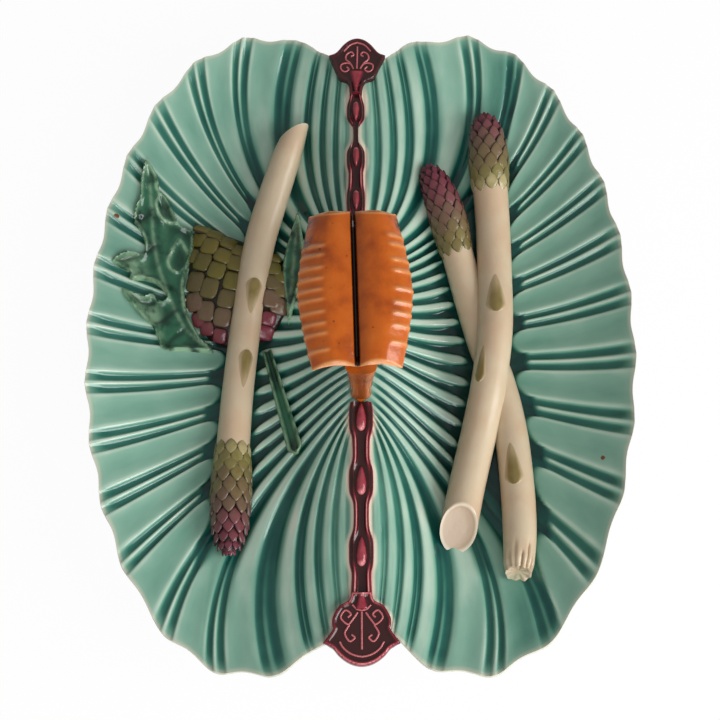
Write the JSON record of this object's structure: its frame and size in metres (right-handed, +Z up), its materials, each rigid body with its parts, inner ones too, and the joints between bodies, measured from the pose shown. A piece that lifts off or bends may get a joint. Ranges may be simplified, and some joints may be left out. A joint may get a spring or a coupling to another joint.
{
  "type": "asparagus plate",
  "caption": "Oval serving plate of fluted shell dishes either side of a beaded band with palmette ends, carried by an arched handle, with asparagus and artichoke in relief.",
  "frame": {"origin": "centre of the plate in the plane that it stands on", "axes": "+X across the two dishes, +Y along the centre band towards the smaller palmette, +Z up"},
  "size_m": [0.2998, 0.369, 0.1],
  "materials": {
    "dish_glaze": "gloss",
    "foot_glaze": "gloss",
    "handle_glaze": "gloss",
    "band_glaze": "gloss",
    "boss_glaze": "gloss",
    "stalk_glaze": "gloss",
    "bud_glaze": "gloss",
    "bract_glaze": "gloss",
    "artichoke_glaze": "gloss",
    "leaf_glaze": "gloss"
  },
  "bodies": {
    "root": {"right_dish": "dish_glaze", "left_dish": "dish_glaze", "right_foot_ring": "foot_glaze", "left_foot_ring": "foot_glaze", "plinth": "handle_glaze", "handle_grip": "handle_glaze", "front_leg": "handle_glaze", "back_leg": "handle_glaze", "upper_band": "band_glaze", "lower_band": "band_glaze", "upper_boss_1": "boss_glaze", "upper_boss_2": "boss_glaze", "upper_boss_3": "boss_glaze", "lower_boss_1": "boss_glaze", "lower_boss_2": "boss_glaze", "lower_boss_3": "boss_glaze", "upper_palmette": "band_glaze", "lower_palmette": "band_glaze", "upper_scrolls": "boss_glaze", "lower_scrolls": "boss_glaze", "left_spear_stalk": "stalk_glaze", "front_spear_stalk": "stalk_glaze", "back_spear_stalk": "stalk_glaze", "left_spear_bud": "bud_glaze", "front_spear_bud": "bud_glaze", "back_spear_bud": "bud_glaze", "left_spear_bract_1": "bract_glaze", "left_spear_bract_2": "bract_glaze", "front_spear_bract_1": "bract_glaze", "front_spear_bract_2": "bract_glaze", "back_spear_bract_1": "bract_glaze", "artichoke_core": "artichoke_glaze", "artichoke_bracts": "artichoke_glaze", "large_leaf": "leaf_glaze", "small_leaf": "leaf_glaze", "leaf_stalk": "leaf_glaze"}
  },
  "joints": []
}
